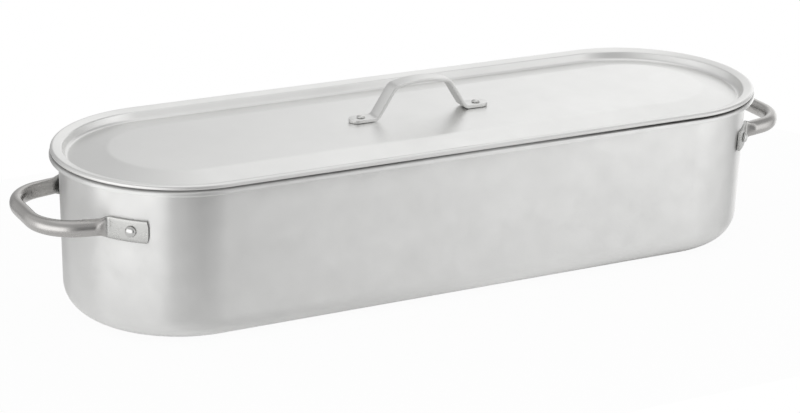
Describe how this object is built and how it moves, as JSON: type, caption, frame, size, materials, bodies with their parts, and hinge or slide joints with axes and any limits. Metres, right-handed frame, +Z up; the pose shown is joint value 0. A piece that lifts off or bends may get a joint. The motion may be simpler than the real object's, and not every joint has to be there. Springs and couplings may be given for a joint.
{
  "type": "fish kettle",
  "caption": "Long round-ended fish kettle in pressed aluminium, with a loose lid, tube end handles and a perforated lifting rack inside.",
  "frame": {"origin": "middle of the underside of the base, on the surface that the kettle stands on", "axes": "+X along the kettle towards its right end, +Y to its back, +Z up"},
  "size_m": [0.6722, 0.1968, 0.1567],
  "materials": {
    "pan_aluminium": "satin, brushed round the wall",
    "lid_aluminium": "satin",
    "strap_aluminium": "polished",
    "rivet_aluminium": "bright",
    "rack_aluminium": "satin",
    "handle_steel": "drawn tube, half bright"
  },
  "bodies": {
    "kettle": {"kettle_body": "pan_aluminium", "end_handle_left": "handle_steel", "end_handle_right": "handle_steel", "end_handle_rivet_left_a": "rivet_aluminium", "end_handle_rivet_left_b": "rivet_aluminium", "end_handle_rivet_right_a": "rivet_aluminium", "end_handle_rivet_right_b": "rivet_aluminium"},
    "rack": {"rack_plate": "rack_aluminium", "rack_handle_left": "strap_aluminium", "rack_handle_right": "strap_aluminium", "rack_foot_left_front": "rack_aluminium", "rack_foot_left_back": "rack_aluminium", "rack_foot_right_front": "rack_aluminium", "rack_foot_right_back": "rack_aluminium", "rack_rivet_left_front": "rivet_aluminium", "rack_rivet_left_back": "rivet_aluminium", "rack_rivet_right_front": "rivet_aluminium", "rack_rivet_right_back": "rivet_aluminium"},
    "lid": {"lid": "lid_aluminium", "lid_handle": "strap_aluminium", "lid_rivet_left": "rivet_aluminium", "lid_rivet_right": "rivet_aluminium"}
  },
  "joints": [
    {"name": "rack_lift", "type": "slide", "parent": "kettle", "child": "rack", "axis": [0, 0, 1], "range_m": [0, 0.16]},
    {"name": "lid_lift", "type": "slide", "parent": "rack", "child": "lid", "axis": [0, 0, 1], "range_m": [0, 0.15]}
  ]
}
